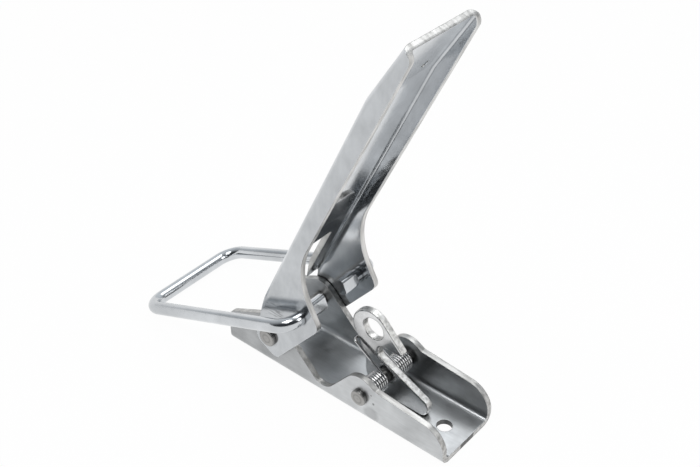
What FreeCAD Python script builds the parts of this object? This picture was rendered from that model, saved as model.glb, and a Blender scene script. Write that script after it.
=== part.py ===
import FreeCAD, Part
import math
import os
import Sketcher

# Trailer drop side hook: an over-centre toggle latch with a wire bail and a sprung safety catch.
# Origin on the underside of the base, at mid width, below the lever pivot.
# +X points to the rear of the base, away from the bail, and +Z points up.

doc = FreeCAD.newDocument("drop_side_hook")
sheet = doc.addObject("Spreadsheet::Sheet", "sheet")

# Driving dimensions in millimetres and degrees.
SIZES = {
    # How far each cut runs past the solid
    "cut_overrun": 5.0,
    # Folded base channel
    "base_width": 45.0,
    "base_sheet": 3.5,
    "base_bend": 3.0,
    "base_front": 36.0,
    "base_rear": 120.4,
    "pivot_height": 26.1,
    "front_wall_height": 23.2,
    "front_corner_radius": 6.0,
    "ear_apex_x": 1.0,
    "ear_apex_height": 40.9,
    "ear_apex_radius": 13.0,
    "dip_x": 37.1,
    "dip_height": 3.7,
    "dip_radius": 8.8,
    "hump_x": 61.5,
    "hump_height": 33.3,
    "hump_radius": 11.5,
    "rail_start_x": 74.5,
    "rail_start_height": 26.0,
    "rail_start_radius": 3.0,
    "rail_end_height": 21.7,
    "rear_corner_radius": 15.0,
    "bolt_hole_diameter": 9.0,
    "bolt_edge_distance": 15.0,
    # Pins and their play
    "running_gap": 0.08,
    "side_gap": 0.3,
    "pivot_pin_diameter": 8.8,
    "pivot_head_diameter": 11.0,
    "pivot_head_height": 2.2,
    "catch_pin_x": 64.25,
    "catch_pin_height": 16.6,
    "catch_pin_diameter": 8.0,
    "catch_head_diameter": 9.6,
    "catch_head_height": 2.5,
    "head_edge_radius": 0.7,
    # Lever, measured along the handle and square to it
    "lever_angle": 64.43,
    "lever_sheet": 3.5,
    "lever_bend": 1.4,
    "lever_back": 15.5,
    "lever_length": 226.8,
    "lever_tip_bend_at": 189.0,
    "lever_tip_drop": 4.84,
    "lever_tip_bend_radius": 40.0,
    "lever_tip_edge": 3.5,
    "lever_tip_radius": 5.0,
    "lever_edge": 4.8,
    "lever_edge_start": 60.0,
    "lever_edge_radius": 41.0,
    "ear_low_x": 39.1,
    "ear_low_depth": 23.6,
    "ear_low_radius": 6.0,
    "ear_heel_x": 10.2,
    "ear_heel_depth": 10.4,
    "ear_heel_radius": 4.5,
    "ear_front_x": 9.2,
    "ear_front_rise": 7.0,
    "ear_front_radius": 5.0,
    "ear_shoulder_x": 13.7,
    "ear_shoulder_rise": 12.0,
    "back_start_x": 27.0,
    "slot_half_width": 12.0,
    "slot_end_x": 61.5,
    "slot_corner_radius": 3.0,
    "hang_hole_x": 199.0,
    "hang_hole_side": 8.25,
    "hang_hole_diameter": 4.5,
    "press_start_x": 76.0,
    "press_full_x": 98.0,
    "press_height": 1.2,
    "press_reach": 27.0,
    "press_half_width": 15.0,
    "press_round": 14.5,
    # Wire bail
    "bail_wire": 8.0,
    "bail_hole_gap": 0.1,
    "bail_hole_x": 35.65,
    "bail_hole_depth": 10.7,
    "bail_half_width": 36.7,
    "bail_length": 129.9,
    "bail_corner_radius": 12.0,
    "bail_stub_radius": 10.0,
    "bail_flat_start": 18.6,
    "bail_flat_end": 7.8,
    "bail_flat_thickness": 6.0,
    "bail_flat_width": 9.4,
    "bail_flat_round": 2.4,
    # Safety catch, measured from its pin
    "catch_thickness": 5.0,
    "catch_edge_round": 1.0,
    "catch_floor_gap": 0.3,
    "ring_top": 41.6,
    "ring_front_x": 29.6,
    "ring_rear_x": 4.5,
    "ring_radius": 12.1,
    "eye_x": 7.6,
    "eye_height": 30.6,
    "eye_diameter": 13.6,
    "nose_x": 14.8,
    "nose_height": 21.0,
    "nose_radius": 1.8,
    "throat_x": 3.9,
    "throat_top_radius": 3.4,
    "throat_low_height": 13.3,
    "throat_low_radius": 3.4,
    "tail_tip_x": 31.6,
    "tail_tip_height": -3.1,
    "tail_tip_radius": 4.5,
    "tail_heel_x": 30.0,
    "tail_heel_radius": 5.0,
    "shank_front_height": 8.0,
    # Catch spring
    "spring_wire": 1.7,
    "spring_coil_radius": 5.65,
    "spring_inner_y": 5.65,
    "spring_outer_y": 16.4,
    "spring_coils": 6.0,
    "spring_leg_rise_angle": 31.0,
    "spring_foot_angle": 25.0,
    "spring_foot_gap": 0.5,
    "spring_bridge_length": 26.0,
    "spring_bridge_radius": 1.9,
}
for row, (alias, value) in enumerate(SIZES.items(), start=1):
    sheet.set(f"A{row}", alias)
    sheet.set(f"B{row}", str(value))
    sheet.setAlias(f"B{row}", alias)
doc.recompute()


class Size:
    """A length that knows its value and the sheet expression that drives it."""

    def __init__(self, value, text):
        self.value = float(value)
        self.text = text

    def __add__(self, other):
        return Size(self.value + other.value, f"({self.text} + {other.text})")

    def __sub__(self, other):
        return Size(self.value - other.value, f"({self.text} - {other.text})")

    def __mul__(self, other):
        other = as_size(other)
        return Size(self.value * other.value, f"({self.text} * {other.text})")

    def __truediv__(self, other):
        other = as_size(other)
        return Size(self.value / other.value, f"({self.text} / {other.text})")

    def __neg__(self):
        return Size(-self.value, f"(-1 * {self.text})")


def as_size(number):
    return number if isinstance(number, Size) else Size(number, str(number))


def size(alias):
    return Size(sheet.get(alias), f"sheet.{alias}")


ZERO = as_size(0)
PAST = size("cut_overrun")
# An edge nearer than this to a face counts as lying on it.
ON_FACE = 0.01


def new_body(label):
    body = doc.addObject("PartDesign::Body", label)
    body.Label = label
    return body


def new_sketch(body, name, plane, offset=None):
    sketch = body.newObject("Sketcher::SketchObject", name)
    origin_plane = [item for item in body.Origin.OriginFeatures if item.Role == plane][0]
    sketch.AttachmentSupport = [(origin_plane, "")]
    sketch.MapMode = "FlatFace"
    if offset is not None:
        sketch.AttachmentOffset = FreeCAD.Placement(FreeCAD.Vector(0, 0, offset.value), FreeCAD.Rotation())
        sketch.setExpression("AttachmentOffset.Base.z", offset.text)
    return sketch


def bind(sketch, constraint, driver):
    """Add a constraint and drive it from the sheet."""
    index = sketch.addConstraint(constraint)
    sketch.setExpression(f"Constraints[{index}]", driver.text)


def place_point(sketch, geometry, position, x, y):
    bind(sketch, Sketcher.Constraint("DistanceX", -1, 1, geometry, position, x.value), x)
    bind(sketch, Sketcher.Constraint("DistanceY", -1, 1, geometry, position, y.value), y)


def corner_geometry(before, corner, after, radius):
    """Tangent points and centre of the arc that rounds a corner."""
    to_before = (before - corner).normalize()
    to_after = (after - corner).normalize()
    half = to_before.getAngle(to_after) / 2
    reach = radius / math.tan(half)
    centre = corner + (to_before + to_after).normalize() * (radius / math.sin(half))
    return corner + to_before * reach, corner + to_after * reach, centre


def add_outline(sketch, corners, closed=True):
    """Draw lines through corners (x, y, radius or None) and round those with a radius."""
    points = [FreeCAD.Vector(x.value, y.value, 0) for x, y, radius in corners]
    count = len(points)
    rounded = {}
    for index, (x, y, radius) in enumerate(corners):
        if radius is not None:
            before = points[index - 1]
            after = points[(index + 1) % count]
            rounded[index] = corner_geometry(before, points[index], after, radius.value)
    sides = count if closed else count - 1
    lines = []
    for index in range(sides):
        nxt = (index + 1) % count
        start = rounded[index][1] if index in rounded else points[index]
        end = rounded[nxt][0] if nxt in rounded else points[nxt]
        lines.append(sketch.addGeometry(Part.LineSegment(start, end), False))
    for index, (x, y, radius) in enumerate(corners):
        has_before = closed or index > 0
        has_after = closed or index < count - 1
        if radius is None:
            if has_before and has_after:
                sketch.addConstraint(Sketcher.Constraint("Coincident", lines[index - 1], 2, lines[index], 1))
            if has_after:
                place_point(sketch, lines[index], 1, x, y)
            else:
                place_point(sketch, lines[index - 1], 2, x, y)
            continue
        start, end, centre = rounded[index]
        start_angle = math.atan2(start.y - centre.y, start.x - centre.x)
        end_angle = math.atan2(end.y - centre.y, end.x - centre.x)
        turn = (end_angle - start_angle) % (2 * math.pi)
        circle = Part.Circle(centre, FreeCAD.Vector(0, 0, 1), radius.value)
        leftwards = turn < math.pi
        first, last = (start_angle, end_angle) if leftwards else (end_angle, start_angle)
        arc = sketch.addGeometry(Part.ArcOfCircle(circle, first, last), False)
        at_start, at_end = (1, 2) if leftwards else (2, 1)
        sketch.addConstraint(Sketcher.Constraint("Tangent", lines[index - 1], 2, arc, at_start))
        sketch.addConstraint(Sketcher.Constraint("Tangent", arc, at_end, lines[index], 1))
        bind(sketch, Sketcher.Constraint("Radius", arc, radius.value), radius)
        mark = sketch.addGeometry(Part.Point(points[index]), True)
        sketch.addConstraint(Sketcher.Constraint("PointOnObject", mark, 1, lines[index - 1]))
        sketch.addConstraint(Sketcher.Constraint("PointOnObject", mark, 1, lines[index]))
        place_point(sketch, mark, 1, x, y)


def add_circle(sketch, x, y, radius):
    centre = FreeCAD.Vector(x.value, y.value, 0)
    circle = sketch.addGeometry(Part.Circle(centre, FreeCAD.Vector(0, 0, 1), radius.value), False)
    place_point(sketch, circle, 3, x, y)
    bind(sketch, Sketcher.Constraint("Radius", circle, radius.value), radius)


def checked_volume(body):
    doc.recompute()
    return body.Shape.Volume


def pad(body, name, sketch, length, symmetric=False, flipped=False):
    feature = body.newObject("PartDesign::Pad", name)
    feature.Profile = sketch
    feature.SideType = "Symmetric" if symmetric else "One side"
    feature.Length = length.value
    feature.setExpression("Length", length.text)
    feature.Reversed = flipped
    doc.recompute()
    return feature


def pocket(body, name, sketch, length):
    """Cut both ways from the sketch, so that the direction can't miss the solid."""
    before = checked_volume(body)
    feature = body.newObject("PartDesign::Pocket", name)
    feature.Profile = sketch
    feature.SideType = "Symmetric"
    feature.Length = length.value
    feature.setExpression("Length", length.text)
    if not checked_volume(body) < before:
        raise RuntimeError(f"{name} removed nothing")
    return feature


def fillet(body, name, base, radius, wanted):
    """Round the edges of the base feature that the test wants."""
    doc.recompute()
    names = [f"Edge{number}" for number, edge in enumerate(base.Shape.Edges, start=1) if wanted(edge)]
    feature = body.newObject("PartDesign::Fillet", name)
    feature.Base = (base, names)
    feature.Radius = radius.value
    feature.setExpression("Radius", radius.text)
    doc.recompute()
    return feature


def edge_middle(edge):
    return edge.valueAt((edge.FirstParameter + edge.LastParameter) / 2)


def runs_lengthways(edge):
    return edge.BoundBox.YLength < ON_FACE and edge.BoundBox.XLength > size("lever_sheet").value


# Sizes that several pieces share
half_base = size("base_width") / 2
base_inside = half_base - size("base_sheet")
lever_inside = half_base + size("side_gap")
lever_outside = lever_inside + size("lever_sheet")
pivot_radius = size("pivot_pin_diameter") / 2
catch_pin_radius = size("catch_pin_diameter") / 2
wire_radius = size("bail_wire") / 2
web_inside = size("lever_back") - size("lever_sheet")
catch_drop = size("catch_pin_height") - size("base_sheet") - size("catch_floor_gap")


def build_base():
    """One folded channel: floor, two walls with pivot ears, wire seats and catch humps."""
    body = new_body("base_channel")
    outer_bend = size("base_bend") + size("base_sheet")
    stock_height = size("ear_apex_height") + PAST
    section = new_sketch(body, "base_section", "YZ_Plane", -(size("base_front") + PAST))
    add_outline(section, [
        (-half_base, ZERO, outer_bend),
        (half_base, ZERO, outer_bend),
        (half_base, stock_height, None),
        (base_inside, stock_height, None),
        (base_inside, size("base_sheet"), size("base_bend")),
        (-base_inside, size("base_sheet"), size("base_bend")),
        (-base_inside, stock_height, None),
        (-half_base, stock_height, None),
    ])
    pad(body, "base_fold", section, size("base_front") + size("base_rear") + PAST * 2)
    outline = new_sketch(body, "base_outline", "XZ_Plane")
    front, rear = -size("base_front"), size("base_rear")
    below, above = -PAST, stock_height + PAST
    add_outline(outline, [
        (front, below, None),
        (front, size("front_wall_height"), size("front_corner_radius")),
        (size("ear_apex_x"), size("ear_apex_height"), size("ear_apex_radius")),
        (size("dip_x"), size("dip_height"), size("dip_radius")),
        (size("hump_x"), size("hump_height"), size("hump_radius")),
        (size("rail_start_x"), size("rail_start_height"), size("rail_start_radius")),
        (rear, size("rail_end_height"), size("rear_corner_radius")),
        (rear, below, None),
        (rear + PAST * 2, below, None),
        (rear + PAST * 2, above, None),
        (front - PAST * 2, above, None),
        (front - PAST * 2, below, None),
    ])
    pocket(body, "base_trim", outline, size("base_width") + PAST)
    pin_holes = new_sketch(body, "base_pin_holes", "XZ_Plane")
    add_circle(pin_holes, ZERO, size("pivot_height"), pivot_radius + size("running_gap"))
    catch_bore_radius = catch_pin_radius + size("running_gap")
    add_circle(pin_holes, size("catch_pin_x"), size("catch_pin_height"), catch_bore_radius)
    pocket(body, "base_pin_bores", pin_holes, size("base_width") + PAST)
    bolt_holes = new_sketch(body, "base_bolt_holes", "XY_Plane")
    bolt_radius = size("bolt_hole_diameter") / 2
    add_circle(bolt_holes, size("base_rear") - size("bolt_edge_distance"), ZERO, bolt_radius)
    add_circle(bolt_holes, size("bolt_edge_distance") - size("base_front"), ZERO, bolt_radius)
    pocket(body, "base_bolt_bores", bolt_holes, size("base_sheet") * 2 + PAST)
    return body


def build_rivet(label, radius, head_radius, head_height, half_grip, x, height):
    """A headed pin, turned about the Y axis."""
    body = new_body(label)
    top = half_grip + head_height
    profile = new_sketch(body, f"{label}_profile", "XY_Plane")
    edge = size("head_edge_radius")
    add_outline(profile, [
        (ZERO, -top, None),
        (head_radius, -top, edge),
        (head_radius, -half_grip, None),
        (radius, -half_grip, None),
        (radius, half_grip, None),
        (head_radius, half_grip, None),
        (head_radius, top, edge),
        (ZERO, top, None),
    ])
    turned = body.newObject("PartDesign::Revolution", f"{label}_turned")
    turned.Profile = profile
    turned.ReferenceAxis = (profile, ["V_Axis"])
    turned.Angle = 360
    body.Placement.Base = FreeCAD.Vector(x.value, 0, height.value)
    body.setExpression("Placement.Base.x", x.text)
    body.setExpression("Placement.Base.z", height.text)
    return body


def press_sketch(body, name, lift):
    """The ramp's tongue outline on a plane that leans into the trough, lifted square to it."""
    slope = size("press_height") / (size("press_full_x") - size("press_start_x"))
    lean = math.atan(slope.value)
    sine = Size(math.sin(lean), f"sin(atan({slope.text}))")
    cosine = Size(math.cos(lean), f"cos(atan({slope.text}))")
    start = size("press_start_x") + lift * sine
    height = web_inside + lift * cosine
    sketch = new_sketch(body, name, "XY_Plane")
    sketch.AttachmentOffset = FreeCAD.Placement(
        FreeCAD.Vector(start.value, 0, height.value),
        FreeCAD.Rotation(FreeCAD.Vector(0, 1, 0), math.degrees(lean)),
    )
    sketch.setExpression("AttachmentOffset.Base.x", start.text)
    sketch.setExpression("AttachmentOffset.Base.z", height.text)
    sketch.setExpression("AttachmentOffset.Rotation.Angle", f"atan({slope.text})")
    half = size("press_half_width")
    add_outline(sketch, [
        (ZERO, -half, None),
        (size("press_reach"), -half, size("press_round")),
        (size("press_reach"), half, size("press_round")),
        (ZERO, half, None),
    ])
    return sketch


def build_lever():
    """One folded handle, drawn lying flat: X along it from the pivot, Z out of its back."""
    body = new_body("lever")
    back = size("lever_back")
    length = size("lever_length")
    tip_top = back - size("lever_tip_drop")
    bend_at = size("lever_tip_bend_at")
    bend_radius = size("lever_tip_bend_radius")
    front = -size("ear_heel_x")
    outline = new_sketch(body, "lever_outline", "XZ_Plane")
    add_outline(outline, [
        (front, back, None),
        (bend_at, back, bend_radius),
        (length, tip_top, None),
        (length, size("lever_tip_edge"), size("lever_tip_radius")),
        (size("lever_edge_start"), size("lever_edge"), size("lever_edge_radius")),
        (size("ear_low_x"), -size("ear_low_depth"), size("ear_low_radius")),
        (front, -size("ear_heel_depth"), size("ear_heel_radius")),
    ])
    blank = pad(body, "lever_blank", outline, lever_outside * 2, symmetric=True)

    def is_long_back_edge(edge):
        middle = edge_middle(edge)
        on_side = abs(abs(middle.y) - lever_outside.value) < ON_FACE
        return on_side and runs_lengthways(edge) and middle.z > tip_top.value

    fillet(body, "lever_outer_bends", blank, size("lever_bend") + size("lever_sheet"), is_long_back_edge)
    trough = new_sketch(body, "lever_trough", "XZ_Plane")
    sheet_shift = size("lever_sheet")
    add_outline(trough, [
        (front - PAST, web_inside, None),
        (bend_at, web_inside, bend_radius + sheet_shift),
        (length + PAST, tip_top - sheet_shift - PAST * size("lever_tip_drop") / (length - bend_at), None),
        (length + PAST, -size("ear_low_depth") - PAST, None),
        (front - PAST, -size("ear_low_depth") - PAST, None),
    ])
    pocket(body, "lever_hollow", trough, lever_inside * 2)

    def is_inner_bend(edge):
        middle = edge_middle(edge)
        on_side = abs(abs(middle.y) - lever_inside.value) < ON_FACE
        return on_side and runs_lengthways(edge) and middle.z > tip_top.value - sheet_shift.value - ON_FACE

    fillet(body, "lever_inner_bends", body.Tip, size("lever_bend"), is_inner_bend)
    shoulder = new_sketch(body, "lever_shoulder", "XZ_Plane")
    add_outline(shoulder, [
        (front - PAST, -PAST, None),
        (front, -PAST, None),
        (-size("ear_front_x"), size("ear_front_rise"), size("ear_front_radius")),
        (size("ear_shoulder_x"), size("ear_shoulder_rise"), None),
        (size("back_start_x"), back, None),
        (size("back_start_x"), back + PAST, None),
        (front - PAST, back + PAST, None),
    ])
    pocket(body, "lever_shoulder_trim", shoulder, lever_outside * 2 + PAST)
    slot = new_sketch(body, "lever_slot", "XY_Plane", back)
    half_slot = size("slot_half_width")
    add_outline(slot, [
        (front, -half_slot, None),
        (size("slot_end_x"), -half_slot, size("slot_corner_radius")),
        (size("slot_end_x"), half_slot, size("slot_corner_radius")),
        (front, half_slot, None),
    ])
    pocket(body, "lever_fork", slot, back)
    holes = new_sketch(body, "lever_holes", "XZ_Plane")
    add_circle(holes, ZERO, ZERO, pivot_radius + size("running_gap"))
    add_circle(holes, size("bail_hole_x"), -size("bail_hole_depth"), wire_radius + size("bail_hole_gap"))
    pocket(body, "lever_bores", holes, lever_outside * 2 + PAST)
    pad(body, "lever_ramp", press_sketch(body, "lever_ramp_inside", ZERO), size("lever_sheet"))
    recess = press_sketch(body, "lever_ramp_outside", size("lever_sheet") + PAST / 2)
    pocket(body, "lever_ramp_recess", recess, PAST)
    hang = new_sketch(body, "lever_hang_hole", "XY_Plane", back)
    add_circle(hang, size("hang_hole_x"), size("hang_hole_side"), size("hang_hole_diameter") / 2)
    pocket(body, "lever_hang_bore", hang, back * 2)
    body.Placement = FreeCAD.Placement(
        FreeCAD.Vector(0, 0, size("pivot_height").value),
        FreeCAD.Rotation(FreeCAD.Vector(0, -1, 0), size("lever_angle").value),
    )
    body.setExpression("Placement.Base.z", "sheet.pivot_height")
    body.setExpression("Placement.Rotation.Angle", "sheet.lever_angle")
    return body


def bail_hinge():
    """Place of the bail's holes in the raised lever, across and up from the origin."""
    angle = size("lever_angle")
    sine = Size(math.sin(math.radians(angle.value)), f"sin({angle.text} * 1 deg)")
    cosine = Size(math.cos(math.radians(angle.value)), f"cos({angle.text} * 1 deg)")
    along, across = size("bail_hole_x"), size("bail_hole_depth")
    return along * cosine + across * sine, size("pivot_height") + along * sine - across * cosine


def build_bail():
    """A round wire bent to a wide U, its ends turned inwards and pressed flat."""
    body = new_body("bail")
    half = size("bail_half_width")
    length = size("bail_length")
    bend = size("bail_corner_radius")
    stub_bend = size("bail_stub_radius")
    route = new_sketch(body, "bail_route", "XY_Plane")
    add_outline(route, [
        (ZERO, -size("bail_flat_start"), None),
        (ZERO, -half, stub_bend),
        (length, -half, bend),
        (length, half, bend),
        (ZERO, half, stub_bend),
        (ZERO, size("bail_flat_start"), None),
    ], closed=False)
    section = new_sketch(body, "bail_section", "XZ_Plane", size("bail_flat_start"))
    add_circle(section, ZERO, ZERO, wire_radius)
    doc.recompute()
    wire = body.newObject("PartDesign::AdditivePipe", "bail_wire")
    wire.Profile = section
    wire.Spine = route
    doc.recompute()
    flat_length = size("bail_flat_start") - size("bail_flat_end")
    flat_x = size("bail_flat_thickness") / 2
    flat_z = size("bail_flat_width") / 2
    flat_round = size("bail_flat_round")
    for side, name in ((1, "far"), (-1, "near")):
        at = size("bail_flat_start") * side
        pressed = new_sketch(body, f"bail_{name}_flat", "XZ_Plane", -at)
        add_outline(pressed, [
            (-flat_x, -flat_z, flat_round),
            (flat_x, -flat_z, flat_round),
            (flat_x, flat_z, flat_round),
            (-flat_x, flat_z, flat_round),
        ])
        pad(body, f"bail_{name}_end", pressed, flat_length, flipped=(side < 0))
    hinge_x, hinge_height = bail_hinge()
    fall = (hinge_height - wire_radius) / length
    body.Placement = FreeCAD.Placement(
        FreeCAD.Vector(hinge_x.value, 0, hinge_height.value),
        FreeCAD.Rotation(FreeCAD.Vector(0, 1, 0), 180 - math.degrees(math.asin(fall.value))),
    )
    body.setExpression("Placement.Base.x", hinge_x.text)
    body.setExpression("Placement.Base.z", hinge_height.text)
    body.setExpression("Placement.Rotation.Angle", f"180 deg - asin({fall.text})")
    return body


def build_catch():
    """One thick plate: pull ring, ramp with hook nose, throat, and the tail that stops it."""
    body = new_body("safety_catch")
    outline = new_sketch(body, "catch_outline", "XZ_Plane")
    ring = size("ring_radius")
    add_outline(outline, [
        (-size("ring_front_x"), size("ring_top"), ring),
        (-size("ring_rear_x"), size("ring_top"), ring),
        (size("nose_x"), size("nose_height"), size("nose_radius")),
        (-size("throat_x"), size("nose_height"), size("throat_top_radius")),
        (-size("throat_x"), size("throat_low_height"), size("throat_low_radius")),
        (size("tail_tip_x"), size("tail_tip_height"), size("tail_tip_radius")),
        (size("tail_heel_x"), -catch_drop, size("tail_heel_radius")),
        (-catch_drop, -catch_drop, catch_drop),
        (-catch_drop, size("shank_front_height"), None),
    ])
    pad(body, "catch_plate", outline, size("catch_thickness"), symmetric=True)
    eye = new_sketch(body, "catch_eye", "XZ_Plane")
    add_circle(eye, -size("eye_x"), size("eye_height"), size("eye_diameter") / 2)
    pocket(body, "catch_eye_bore", eye, size("catch_thickness") * 2)

    def is_rim(edge):
        middle = edge_middle(edge)
        on_face = abs(abs(middle.y) - size("catch_thickness").value / 2) < ON_FACE
        return on_face and edge.BoundBox.YLength < ON_FACE

    fillet(body, "catch_rounded_rim", body.Tip, size("catch_edge_round"), is_rim)
    bore = new_sketch(body, "catch_pin_hole", "XZ_Plane")
    add_circle(bore, ZERO, ZERO, catch_pin_radius + size("running_gap"))
    pocket(body, "catch_pin_bore", bore, size("catch_thickness") * 2)
    body.Placement.Base = FreeCAD.Vector(size("catch_pin_x").value, 0, size("catch_pin_height").value)
    body.setExpression("Placement.Base.x", "sheet.catch_pin_x")
    body.setExpression("Placement.Base.z", "sheet.catch_pin_height")
    return body


def bent_corner(before, corner, after, radius):
    """Two straight runs and the arc between them, as edges."""
    arc_start, arc_end, centre = corner_geometry(before, corner, after, radius)
    arc_middle = centre + (corner - centre).normalize() * radius
    return [
        Part.LineSegment(before, arc_start).toShape(),
        Part.Arc(arc_start, arc_middle, arc_end).toShape(),
        Part.LineSegment(arc_end, after).toShape(),
    ]


def build_spring():
    """A double torsion spring: two coils on the pin, feet on the floor, one bridge round the plate."""
    radius = size("spring_coil_radius").value
    outer_y = -size("spring_outer_y").value
    inner_y = -size("spring_inner_y").value
    rise = math.radians(size("spring_leg_rise_angle").value)
    foot = math.radians(size("spring_foot_angle").value)
    start_angle = foot - math.pi / 2
    leave_angle = math.pi / 2 - rise
    turned = 2 * math.pi * size("spring_coils").value + leave_angle - start_angle
    slope = (inner_y - outer_y) / turned

    def coil_point(angle, y):
        return FreeCAD.Vector(radius * math.cos(angle), y, radius * math.sin(angle))

    def coil_direction(angle):
        direction = FreeCAD.Vector(-radius * math.sin(angle), slope, radius * math.cos(angle))
        return direction.normalize()

    floor = size("base_sheet").value + size("spring_wire").value / 2 + size("spring_foot_gap").value
    coil_start = coil_point(start_angle, outer_y)
    foot_drop = coil_start.z + size("catch_pin_height").value - floor
    foot_direction = coil_direction(start_angle)
    toe = coil_start - foot_direction * (foot_drop / foot_direction.z)
    helix = Part.makeHelix(slope * 2 * math.pi, inner_y - outer_y, radius, 0, True)
    helix.rotate(FreeCAD.Vector(), FreeCAD.Vector(1, 0, 0), -90)
    helix.rotate(FreeCAD.Vector(), FreeCAD.Vector(0, -1, 0), math.degrees(start_angle))
    helix.translate(FreeCAD.Vector(0, outer_y, 0))
    coil_end = coil_point(leave_angle, inner_y)
    corner = coil_end + coil_direction(leave_angle) * size("spring_bridge_length").value
    bridge_middle = FreeCAD.Vector(corner.x, 0, corner.z)
    edges = [Part.LineSegment(toe, coil_start).toShape()] + helix.Edges
    edges += bent_corner(coil_end, corner, bridge_middle, size("spring_bridge_radius").value)
    path = Part.Wire(edges)
    section = Part.Wire(Part.makeCircle(size("spring_wire").value / 2, toe, foot_direction))
    near_half = path.makePipeShell([section], True, False)
    far_half = near_half.mirror(FreeCAD.Vector(), FreeCAD.Vector(0, 1, 0))
    spring = doc.addObject("Part::Feature", "catch_spring")
    spring.Label = "catch_spring"
    spring.Shape = near_half.fuse(far_half).removeSplitter()
    pin = FreeCAD.Vector(size("catch_pin_x").value, 0, size("catch_pin_height").value)
    spring.Placement.Base = pin
    spring.setExpression("Placement.Base.x", "sheet.catch_pin_x")
    spring.setExpression("Placement.Base.z", "sheet.catch_pin_height")
    return spring


pieces = [
    build_base(),
    build_lever(),
    build_rivet(
        "pivot_pin", pivot_radius, size("pivot_head_diameter") / 2, size("pivot_head_height"),
        lever_outside + size("running_gap"), ZERO, size("pivot_height"),
    ),
    build_bail(),
    build_catch(),
    build_rivet(
        "catch_pin", catch_pin_radius, size("catch_head_diameter") / 2, size("catch_head_height"),
        half_base + size("running_gap"), size("catch_pin_x"), size("catch_pin_height"),
    ),
    build_spring(),
]
doc.recompute()

for item in doc.Objects:
    if "Invalid" in item.State or "Error" in item.State:
        raise RuntimeError(f"{item.Label} failed: {item.State}")
for piece in pieces:
    shape = piece.Shape
    if shape.isNull() or not shape.isValid() or len(shape.Solids) != 1:
        raise RuntimeError(f"{piece.Label} is not one valid solid")

os.makedirs("parts", exist_ok=True)
for piece in pieces:
    piece.Shape.exportStep(os.path.join("parts", f"{piece.Label}.step"))
    box = piece.Shape.BoundBox
    print(f"{piece.Label}: {piece.Shape.Volume:.0f} mm3, X {box.XMin:.2f} to {box.XMax:.2f},"
          f" Y {box.YMin:.2f} to {box.YMax:.2f}, Z {box.ZMin:.2f} to {box.ZMax:.2f}")
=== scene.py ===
import bmesh
import bpy
import math
from mathutils import Matrix, Vector


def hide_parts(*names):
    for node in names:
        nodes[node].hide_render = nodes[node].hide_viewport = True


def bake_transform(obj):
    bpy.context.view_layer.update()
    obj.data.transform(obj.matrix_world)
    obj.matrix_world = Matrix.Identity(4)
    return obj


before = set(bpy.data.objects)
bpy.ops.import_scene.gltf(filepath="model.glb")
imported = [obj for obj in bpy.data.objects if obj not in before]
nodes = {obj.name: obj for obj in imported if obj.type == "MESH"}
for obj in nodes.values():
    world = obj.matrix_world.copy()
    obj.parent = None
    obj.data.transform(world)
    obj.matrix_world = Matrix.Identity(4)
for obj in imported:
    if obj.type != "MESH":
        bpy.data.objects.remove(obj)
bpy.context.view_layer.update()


# Base channel: one strip of sheet steel, folded to a channel and blanked with ears and humps.
# It is zinc plated after forming, so its flats are satin and carry faint rolling lines and clouds.
def box_of(name):
    """The least and the greatest corner of a carried-over piece."""
    places = [vertex.co for vertex in nodes[name].data.vertices]
    least = Vector([min(place[axis] for place in places) for axis in range(3)])
    greatest = Vector([max(place[axis] for place in places) for axis in range(3)])
    return least, greatest


def join(tree, operation, first, second):
    """A maths node on two sockets."""
    node = tree.nodes.new("ShaderNodeMath")
    node.operation = operation
    tree.links.new(first, node.inputs[0])
    tree.links.new(second, node.inputs[1])
    return node.outputs[0]


def gate(tree, value, low, high, bottom=0.0, top=1.0):
    """Bottom where the value is low and top where it is high. Low may lie above high."""
    node = tree.nodes.new("ShaderNodeMapRange")
    node.inputs["From Min"].default_value = low
    node.inputs["From Max"].default_value = high
    node.inputs["To Min"].default_value = bottom
    node.inputs["To Max"].default_value = top
    tree.links.new(value, node.inputs["Value"])
    return node.outputs["Result"]


def noise(tree, places, scale, detail):
    """A noise whose grains are finer as the scale goes up, with as many finer layers as the detail."""
    node = tree.nodes.new("ShaderNodeTexNoise")
    node.inputs["Scale"].default_value = scale
    node.inputs["Detail"].default_value = detail
    tree.links.new(places, node.inputs["Vector"])
    return node.outputs["Fac"]


def stretch(tree, places, shares):
    """Places for a pattern that is drawn out along each axis whose share is small."""
    node = tree.nodes.new("ShaderNodeMapping")
    node.inputs["Scale"].default_value = shares
    tree.links.new(places, node.inputs["Vector"])
    return node.outputs["Vector"]


def ramp(tree, value, low, low_colour, high, high_colour):
    """One colour up to low, another from high on, and their blend between."""
    node = tree.nodes.new("ShaderNodeValToRGB")
    start, end = node.color_ramp.elements
    start.position = low
    start.color = (*low_colour, 1)
    end.position = high
    end.color = (*high_colour, 1)
    tree.links.new(value, node.inputs["Fac"])
    return node.outputs["Color"]


def blend(tree, factor, first, second):
    """Mix two colours."""
    node = tree.nodes.new("ShaderNodeMix")
    node.data_type = "RGBA"
    tree.links.new(factor, node.inputs["Factor"])
    tree.links.new(first, node.inputs["A"])
    tree.links.new(second, node.inputs["B"])
    return node.outputs["Result"]


def scaled(tree, colour, amount):
    """A colour times an amount."""
    node = tree.nodes.new("ShaderNodeVectorMath")
    node.operation = "SCALE"
    tree.links.new(colour, node.inputs[0])
    tree.links.new(amount, node.inputs["Scale"])
    return node.outputs["Vector"]


def toned_down(tree, colour, mask, left):
    """All of a colour where the mask is 0, and only the share that is left where it is 1."""
    return scaled(tree, colour, gate(tree, mask, 0.0, 1.0, 1.0, left))


def square_to(direction, low=0.7, high=0.9):
    """A zone's test: faces that look along a direction, forwards or back."""
    return ("Normal", direction, low, high)


def edge_on_to(direction, low=0.5, high=0.2):
    """A zone's test: faces that look across a direction."""
    return ("Normal", direction, low, high)


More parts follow.
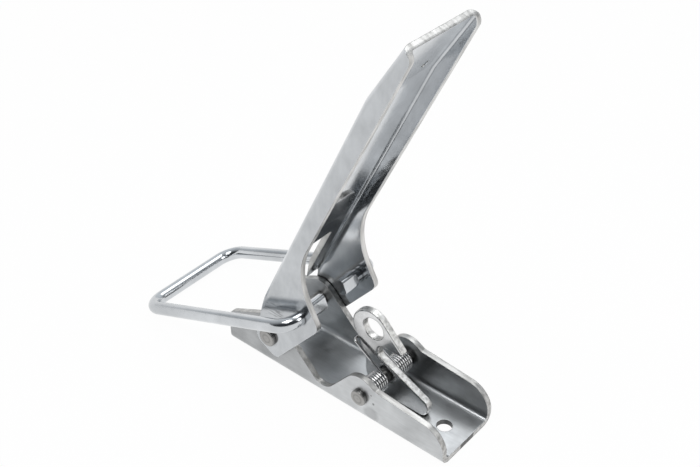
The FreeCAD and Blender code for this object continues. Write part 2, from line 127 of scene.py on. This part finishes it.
def beyond(direction, place, fade):
    """A zone's test: farther along a direction than a place, either way from the origin."""
    return ("Object", direction, place - fade, place + fade)


def within(direction, place, fade):
    """A zone's test: less far along a direction than a place, either way from the origin."""
    return ("Object", direction, place + fade, place - fade)


def zones_mask(tree, place, zones):
    """1 in the zones and 0 elsewhere, where a zone holds if all its tests do."""
    mask = None
    for zone in zones:
        held = None
        for source, direction, low, high in zone:
            along = tree.nodes.new("ShaderNodeVectorMath")
            along.operation = "DOT_PRODUCT"
            along.inputs[1].default_value = direction
            tree.links.new(place.outputs[source], along.inputs[0])
            size = tree.nodes.new("ShaderNodeMath")
            size.operation = "ABSOLUTE"
            tree.links.new(along.outputs["Value"], size.inputs[0])
            test = gate(tree, size.outputs[0], low, high)
            held = test if held is None else join(tree, "MULTIPLY", held, test)
        mask = held if mask is None else join(tree, "MAXIMUM", mask, held)
    return mask


def near_place(tree, place, centre, reach):
    """1 close to a place on the piece, and 0 beyond its reach."""
    full_share = 0.6
    away = tree.nodes.new("ShaderNodeVectorMath")
    away.operation = "DISTANCE"
    away.inputs[1].default_value = centre
    tree.links.new(place.outputs["Object"], away.inputs[0])
    return gate(tree, away.outputs["Value"], reach, reach * full_share)


def scratches(tree, place, centre, reach):
    """1 in short scratches along X, close to one place on the piece."""
    drawn_out = stretch(tree, place.outputs["Object"], (0.15, 1.0, 1.0))
    strokes = gate(tree, noise(tree, drawn_out, scale=1300.0, detail=1.0), 0.56, 0.62)
    return join(tree, "MULTIPLY", strokes, near_place(tree, place, centre, reach))


def turning_marks(tree, place, centre):
    """Rings of a turned face, round an axis that runs across the part."""
    from_centre = tree.nodes.new("ShaderNodeMapping")
    from_centre.inputs["Location"].default_value = (-centre.x, 0, -centre.z)
    tree.links.new(place.outputs["Object"], from_centre.inputs["Vector"])
    rings = tree.nodes.new("ShaderNodeTexWave")
    rings.wave_type = "RINGS"
    rings.rings_direction = "Y"
    rings.inputs["Scale"].default_value = 120.0
    rings.inputs["Distortion"].default_value = 1.2
    tree.links.new(from_centre.outputs["Vector"], rings.inputs["Vector"])
    return rings.outputs["Fac"]


# Most of a noise's values lie between these two.
noise_low, noise_high = 0.3, 0.7


def steel(
    name, colour, roughness, grain_stretch, cloud, relief, edge_radius,
    sheared=(), torn_tone=None, dulled_and_shaded=(), spots=(), scratched_at=None, turned_at=None,
):
    """Zinc-plated steel, with clouds, drawn lines, scuffs, worn edges under a painted highlight, and
    painted shade in its corners.

    Sheared is a list of zones. Each zone in dulled_and_shaded, which holds duller plating and painted
    shade, comes with the share of its tone that is left, and so does each place in spots, after its
    reach. The scratched place has a reach as well, and a turned piece gives any place on its axis.
    """
    material = bpy.data.materials.new(name)
    material.use_nodes = True
    tree = material.node_tree
    shader = tree.nodes["Principled BSDF"]
    shader.inputs["Metallic"].default_value = 1.0
    place = tree.nodes.new("ShaderNodeTexCoord")
    grained = stretch(tree, place.outputs["Object"], grain_stretch)
    lines = noise(tree, grained, scale=900.0, detail=3.0)

    clouds = noise(tree, place.outputs["Object"], scale=38.0, detail=3.0)
    dull = [channel * (1 - cloud) for channel in colour]
    bright = [min(1, channel * (1 + cloud / 2)) for channel in colour]
    plating = ramp(tree, clouds, noise_low, dull, noise_high, bright)
    scuffs = noise(tree, place.outputs["Object"], scale=260.0, detail=8.0)
    uneven_by = 0.15
    rough = gate(
        tree, scuffs, noise_low, noise_high, roughness * (1 - uneven_by), roughness * (1 + uneven_by)
    )

    rounded = tree.nodes.new("ShaderNodeBevel")
    rounded.samples = 6
    rounded.inputs["Radius"].default_value = edge_radius
    flat = tree.nodes.new("ShaderNodeNewGeometry")
    agreement = tree.nodes.new("ShaderNodeVectorMath")
    agreement.operation = "DOT_PRODUCT"
    tree.links.new(rounded.outputs["Normal"], agreement.inputs[0])
    tree.links.new(flat.outputs["Normal"], agreement.inputs[1])
    flatness = agreement.outputs["Value"]
    # Real wear and a painted highlight: the colour is lighter along the rounded edges.
    rubbed_and_highlight_gain = 1.35
    rubbed_and_highlit = tree.nodes.new("ShaderNodeRGB")
    rubbed_and_highlit.outputs[0].default_value = [min(1, channel * rubbed_and_highlight_gain) for channel in colour] + [1]
    on_edge = gate(tree, flatness, 0.99, 0.80)
    surface = blend(tree, on_edge, plating, rubbed_and_highlit.outputs[0])
    height = lines

    if sheared:
        torn_roughness = 0.36
        torn_dark = [torn_tone * share for share in (0.57, 0.565, 0.55)]
        torn_light = [torn_tone * share for share in (1.0, 0.993, 0.972)]
        mask = zones_mask(tree, place, sheared)
        torn = noise(tree, grained, scale=420.0, detail=4.0)
        torn_tint = ramp(tree, torn, 0.35, torn_dark, 0.62, torn_light)
        # Painted shade: the torn faces are darkened next to their rounded edges, as in the bevel's
        # shadow.
        edge_painted_shade = gate(tree, flatness, 0.85, 0.995, 0.45, 1.0)
        surface = blend(tree, mask, surface, scaled(tree, torn_tint, edge_painted_shade))
        rough = join(tree, "MAXIMUM", rough, gate(tree, mask, 0.0, 1.0, 0.0, torn_roughness))
        height = join(tree, "ADD", height, join(tree, "MULTIPLY", mask, torn))
    if turned_at is not None:
        rings = turning_marks(tree, place, turned_at)
        height = join(tree, "ADD", height, rings)
        surface = scaled(tree, surface, gate(tree, rings, 0.0, 0.5, 0.72, 1.0))
    for centre, reach, left in spots:
        surface = toned_down(tree, surface, near_place(tree, place, centre, reach), left)
    if scratched_at is not None:
        scratch_left = 0.62
        surface = toned_down(tree, surface, scratches(tree, place, *scratched_at), scratch_left)
    # Darken each zone: some zones are a duller plating, the others painted shade.
    for zone, left in dulled_and_shaded:
        surface = toned_down(tree, surface, zones_mask(tree, place, [zone]), left)

    # Painted shade: ambient occlusion darkens the colour in corners, creases, between parts and between
    # the spring's turns.
    crevice = tree.nodes.new("ShaderNodeAmbientOcclusion")
    crevice.samples = 8
    crevice.inputs["Distance"].default_value = 0.0022
    crevice_shade = gate(tree, crevice.outputs["AO"], 0.15, 0.9, 0.25, 1.0)
    grain = gate(tree, lines, noise_low, noise_high, 0.94, 1.04)
    surface = scaled(tree, surface, join(tree, "MULTIPLY", crevice_shade, grain))
    skin = tree.nodes.new("ShaderNodeBump")
    skin.inputs["Strength"].default_value = relief
    skin.inputs["Distance"].default_value = 0.0001
    tree.links.new(height, skin.inputs["Height"])
    tree.links.new(rounded.outputs["Normal"], skin.inputs["Normal"])
    tree.links.new(surface, shader.inputs["Base Color"])
    tree.links.new(rough, shader.inputs["Roughness"])
    tree.links.new(skin.outputs["Normal"], shader.inputs["Normal"])
    return material


def finish_node(name, material):
    """Give a carried-over piece its finish."""
    piece = nodes[name]
    piece.data.materials.clear()
    piece.data.materials.append(material)


across, along_base, upward = (0, 1, 0), (1, 0, 0), (0, 0, 1)
just_inside = 0.0001
base_sheet = 0.0035
base_bend = 0.0030
bolt_hole_radius = 0.0045
base_outer_face = box_of("base_channel")[1].y
base_inner_face = base_outer_face - base_sheet
base_outer_skin = base_outer_face - 0.0006
base_inner_skin = base_inner_face + 0.0010
dull_and_shaded_front_end = 0.039
dark_rear_start = 0.065
base_wall_edges = [
    edge_on_to(across),
    beyond(across, base_inner_face - just_inside, fade=0.0002),
    beyond(upward, base_sheet + base_bend, fade=0.0003),
]
base_floor_ends = [square_to(along_base, 0.8, 0.95)]
# Painted shade: the bores of the bolt holes are darkened as if in shadow.
base_bolt_holes = [edge_on_to(upward), within(across, bolt_hole_radius + 0.0015, fade=0.0002)]
# Painted shade under the lever's ear, together with a duller plating: the front of the outer walls is
# darkened.
base_outer_front = [
    square_to(across),
    beyond(across, base_outer_skin, fade=0.0004),
    within(along_base, dull_and_shaded_front_end, fade=0.013),
]
# Painted shade: the inner walls are darkened towards the rear.
base_inner_rear = [
    square_to(across),
    within(across, base_inner_skin, fade=0.0005),
    beyond(along_base, dark_rear_start, fade=0.010),
]

# Marks on the near wall, round the catch's rivet.
rivet_stain = ((0.0718, -base_outer_face, 0.0080), 0.0062, 0.72)
upper_pit = ((0.0719, -base_outer_face, 0.0218), 0.0006, 0.35)
lower_pit = ((0.0735, -base_outer_face, 0.0164), 0.0009, 0.35)
finish_node(
    "base_channel",
    steel(
        "base_zinc",
        colour=(0.59, 0.605, 0.615),
        roughness=0.34,
        grain_stretch=(0.12, 1.0, 1.0),
        cloud=0.30,
        relief=0.12,
        edge_radius=0.0005,
        sheared=(base_wall_edges, base_floor_ends),
        torn_tone=0.58,
        dulled_and_shaded=((base_bolt_holes, 0.22), (base_outer_front, 0.70), (base_inner_rear, 0.60)),
        spots=(rivet_stain, upper_pit, lower_pit),
    ),
)

# Lever: one strip folded to a shallow trough, with its lower end left as two ears and a fork.
# Its sheet is smoother than the base's, so the plating on it is brighter and mirrors more.
lever_angle = math.radians(64.43)
along_lever = (math.cos(lever_angle), 0, math.sin(lever_angle))
out_of_back = (-math.sin(lever_angle), 0, math.cos(lever_angle))
lever_sheet = 0.0035
lever_outer_face = box_of("lever")[1].y
lever_inner_face = lever_outer_face - lever_sheet
lever_outer_skin = lever_outer_face - 0.0009

# Distances from the part's origin, along the lever or out of its back. The half width is across it.
lever_bend_start = 0.02165
lever_web_start = 0.02295
lever_shoulder_end = 0.050
lever_fork_half_width = 0.0126
lever_fork_end = 0.088
lever_side_edges = [
    edge_on_to(across),
    beyond(across, lever_inner_face - just_inside, fade=0.0002),
    within(out_of_back, lever_bend_start, fade=0.00025),
]
lever_shoulder_edges = [
    edge_on_to(across),
    beyond(across, lever_inner_face - just_inside, fade=0.0002),
    within(along_lever, lever_shoulder_end, fade=0.0005),
]
lever_tip_end = [square_to(along_lever)]
lever_fork_edges = [
    edge_on_to(out_of_back),
    within(across, lever_fork_half_width, fade=0.0002),
    beyond(out_of_back, lever_web_start, fade=0.00015),
    within(along_lever, lever_fork_end, fade=0.0005),
]
lever_outer_walls = [square_to(across), beyond(across, lever_outer_skin, fade=0.0004)]
scratched_place, scratched_reach = (0.006, -lever_outer_face, 0.048), 0.010
finish_node(
    "lever",
    steel(
        "lever_zinc",
        colour=(0.60, 0.62, 0.64),
        roughness=0.14,
        grain_stretch=(0.3, 1.0, 0.15),
        cloud=0.14,
        relief=0.08,
        edge_radius=0.0006,
        sheared=(lever_side_edges, lever_shoulder_edges, lever_tip_end, lever_fork_edges),
        torn_tone=0.70,
        dulled_and_shaded=((lever_outer_walls, 0.88),),
        scratched_at=(scratched_place, scratched_reach),
    ),
)

# Pivot and catch rivets: turned steel pins, headed cold and zinc plated.
# Their flat heads keep the turning marks, as rings round the pin's own axis.
for rivet in ("pivot_pin", "catch_pin"):
    least, greatest = box_of(rivet)
    finish_node(
        rivet,
        steel(
            rivet + "_zinc",
            colour=(0.38, 0.375, 0.365),
            roughness=0.36,
            grain_stretch=(1.0, 0.2, 1.0),
            cloud=0.22,
            relief=0.15,
            edge_radius=0.0004,
            turned_at=(least + greatest) / 2,
        ),
    )

# Bail: one drawn wire, bent to a wide U, its ends turned in through the lever and pressed flat.
# Drawing leaves it one of the smoothest pieces, so it mirrors the room in long clear bands.
finish_node(
    "bail",
    steel(
        "bail_zinc",
        colour=(0.60, 0.62, 0.64),
        roughness=0.15,
        grain_stretch=(0.1, 0.4, 0.1),
        cloud=0.12,
        relief=0.001,
        edge_radius=0.0001,
    ),
)

# Safety catch: one thick blanked plate with a pull ring, tumbled before plating.
# Tumbling rounds its rim and leaves a soft, slightly peened gloss.
catch_rim = [edge_on_to(across, 0.85, 0.5)]
finish_node(
    "safety_catch",
    steel(
        "catch_zinc",
        colour=(0.74, 0.745, 0.75),
        roughness=0.20,
        grain_stretch=(1.0, 1.0, 1.0),
        cloud=0.40,
        relief=0.20,
        edge_radius=0.0006,
        sheared=(catch_rim,),
        torn_tone=0.92,
    ),
)

# Catch spring: one bright wire wound in two coils on the catch pin, its feet on the channel's floor.
# Its bridge lies in front of the plate. When the plate is pulled forward, the bridge goes with it and
# the coils wind up round the pin.
weld_distance = 0.000005
spring_mesh = nodes["catch_spring"].data.copy()
spring_skin = bmesh.new()
spring_skin.from_mesh(spring_mesh)
bmesh.ops.remove_doubles(spring_skin, verts=spring_skin.verts, dist=weld_distance)
spring_skin.to_mesh(spring_mesh)
spring_skin.free()
spring_mesh.shade_smooth()
spring_mesh.materials.clear()
spring_mesh.materials.append(
    steel(
        "spring_wire",
        colour=(0.66, 0.66, 0.66),
        roughness=0.13,
        grain_stretch=(1.0, 1.0, 1.0),
        cloud=0.10,
        relief=0.05,
        edge_radius=0.00002,
    )
)
spring = bpy.data.objects.new("wound_spring", spring_mesh)
bpy.context.scene.collection.objects.link(spring)
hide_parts("catch_spring")
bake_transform(spring)


# Floor and surroundings: a white paper sweep in a dim room, shown white to the camera and in the metal.
# The floor still takes the object's soft shadow, and the room gives the metal its dark parts.
def seen_mask(tree):
    """1 where the camera, a mirror or a see-through piece looks, and 0 for light."""
    path = tree.nodes.new("ShaderNodeLightPath")
    seen_or_mirrored = join(tree, "MAXIMUM", path.outputs["Is Camera Ray"], path.outputs["Is Glossy Ray"])
    return join(tree, "MAXIMUM", seen_or_mirrored, path.outputs["Is Transmission Ray"])


floor_height = -0.0002
sweep_profile = [(4.5, floor_height), (5.4, 0.12), (5.9, 0.5), (6.0, 1.5)]
sweep_sides = 48
sweep_points = [(0, 0, floor_height)]
for radius, height in sweep_profile:
    for side in range(sweep_sides):
        turn = 2 * math.pi * side / sweep_sides
        sweep_points.append((radius * math.cos(turn), radius * math.sin(turn), height))
sweep_faces = [(0, 1 + side, 1 + (side + 1) % sweep_sides) for side in range(sweep_sides)]
for ring in range(len(sweep_profile) - 1):
    inner, outer = 1 + ring * sweep_sides, 1 + (ring + 1) * sweep_sides
    for side in range(sweep_sides):
        after = (side + 1) % sweep_sides
        sweep_faces.append((inner + side, outer + side, outer + after, inner + after))
floor_mesh = bpy.data.meshes.new("studio_floor")
floor_mesh.from_pydata(sweep_points, [], sweep_faces)
floor = bpy.data.objects.new("studio_floor", floor_mesh)
bpy.context.scene.collection.objects.link(floor)

white_share = 0.97
paper = bpy.data.materials.new("white_paper")
paper.use_nodes = True
paper_tree = paper.node_tree
paper_shader = paper_tree.nodes["Principled BSDF"]
paper_shader.inputs["Base Color"].default_value = (0.9, 0.9, 0.9, 1)
paper_shader.inputs["Roughness"].default_value = 0.9
paper_shader.inputs["Specular IOR Level"].default_value = 0.0
paper_glow = paper_tree.nodes.new("ShaderNodeEmission")
paper_glow.inputs["Strength"].default_value = 1.0
paper_mix = paper_tree.nodes.new("ShaderNodeMixShader")
paper_fade = gate(paper_tree, seen_mask(paper_tree), 0.0, 1.0, 0.0, white_share)
paper_tree.links.new(paper_fade, paper_mix.inputs["Fac"])
paper_tree.links.new(paper_shader.outputs["BSDF"], paper_mix.inputs[1])
paper_tree.links.new(paper_glow.outputs["Emission"], paper_mix.inputs[2])
paper_tree.links.new(paper_mix.outputs["Shader"], paper_tree.nodes["Material Output"].inputs["Surface"])
floor_mesh.materials.append(paper)

world = bpy.data.worlds.new("studio")
bpy.context.scene.world = world
world.use_nodes = True
air = world.node_tree
direction = air.nodes.new("ShaderNodeTexCoord")
towards_glow = air.nodes.new("ShaderNodeVectorMath")
towards_glow.operation = "DOT_PRODUCT"
towards_glow.inputs[1].default_value = (-0.52, 0.62, 0.59)
air.links.new(direction.outputs["Generated"], towards_glow.inputs[0])
dim_room, bright_ceiling = (0.045, 0.05, 0.055), (0.76, 0.79, 0.82)
room = ramp(air, towards_glow.outputs["Value"], 0.1, dim_room, 0.95, bright_ceiling)
air.links.new(room, air.nodes["Background"].inputs["Color"])
air.nodes["Background"].inputs["Strength"].default_value = 1.0


# Lamps: three wide soft boxes, as in a product studio.
# The main one hangs over the near side, and its long shape draws the highlights along the folds.
def soft_box(name, place, width, height, power):
    """A rectangular lamp that faces the object's lower middle."""
    aim = Vector((0, 0, 0.08))
    lamp = bpy.data.lights.new(name, "AREA")
    lamp.shape = "RECTANGLE"
    lamp.size = width
    lamp.size_y = height
    lamp.energy = power
    holder = bpy.data.objects.new(name, lamp)
    bpy.context.scene.collection.objects.link(holder)
    holder.location = place
    holder.rotation_euler = (aim - Vector(place)).to_track_quat("-Z", "Y").to_euler()


soft_box("key_box", (-0.1, -0.5, 1.4), width=0.9, height=0.6, power=8.0)
soft_box("fill_box", (0.9, 0.3, 0.8), width=0.6, height=0.6, power=3.0)
soft_box("back_box", (-0.1, 0.7, 1.2), width=0.8, height=0.5, power=2.5)

# Camera: placed where the photograph was taken from, found from the edges of the base and lever.
# It looks down on the object from its rear right side.
camera_place = Vector((0.33762, -0.35459, 0.44188))
camera_backwards = Vector((0.5202, -0.6165, 0.5910))
camera_roll = Matrix.Rotation(math.radians(-0.2), 4, "Z")
camera_aim = camera_backwards.to_track_quat("Z", "Y").to_matrix().to_4x4()
camera_data = bpy.data.cameras.new("photo_camera")
camera_data.lens = 56.39
camera_data.sensor_width = 36.0
camera = bpy.data.objects.new("photo_camera", camera_data)
bpy.context.scene.collection.objects.link(camera)
camera.matrix_world = Matrix.Translation(camera_place) @ (camera_aim @ camera_roll)
bpy.context.scene.camera = camera
bpy.context.scene.view_settings.view_transform = "Standard"
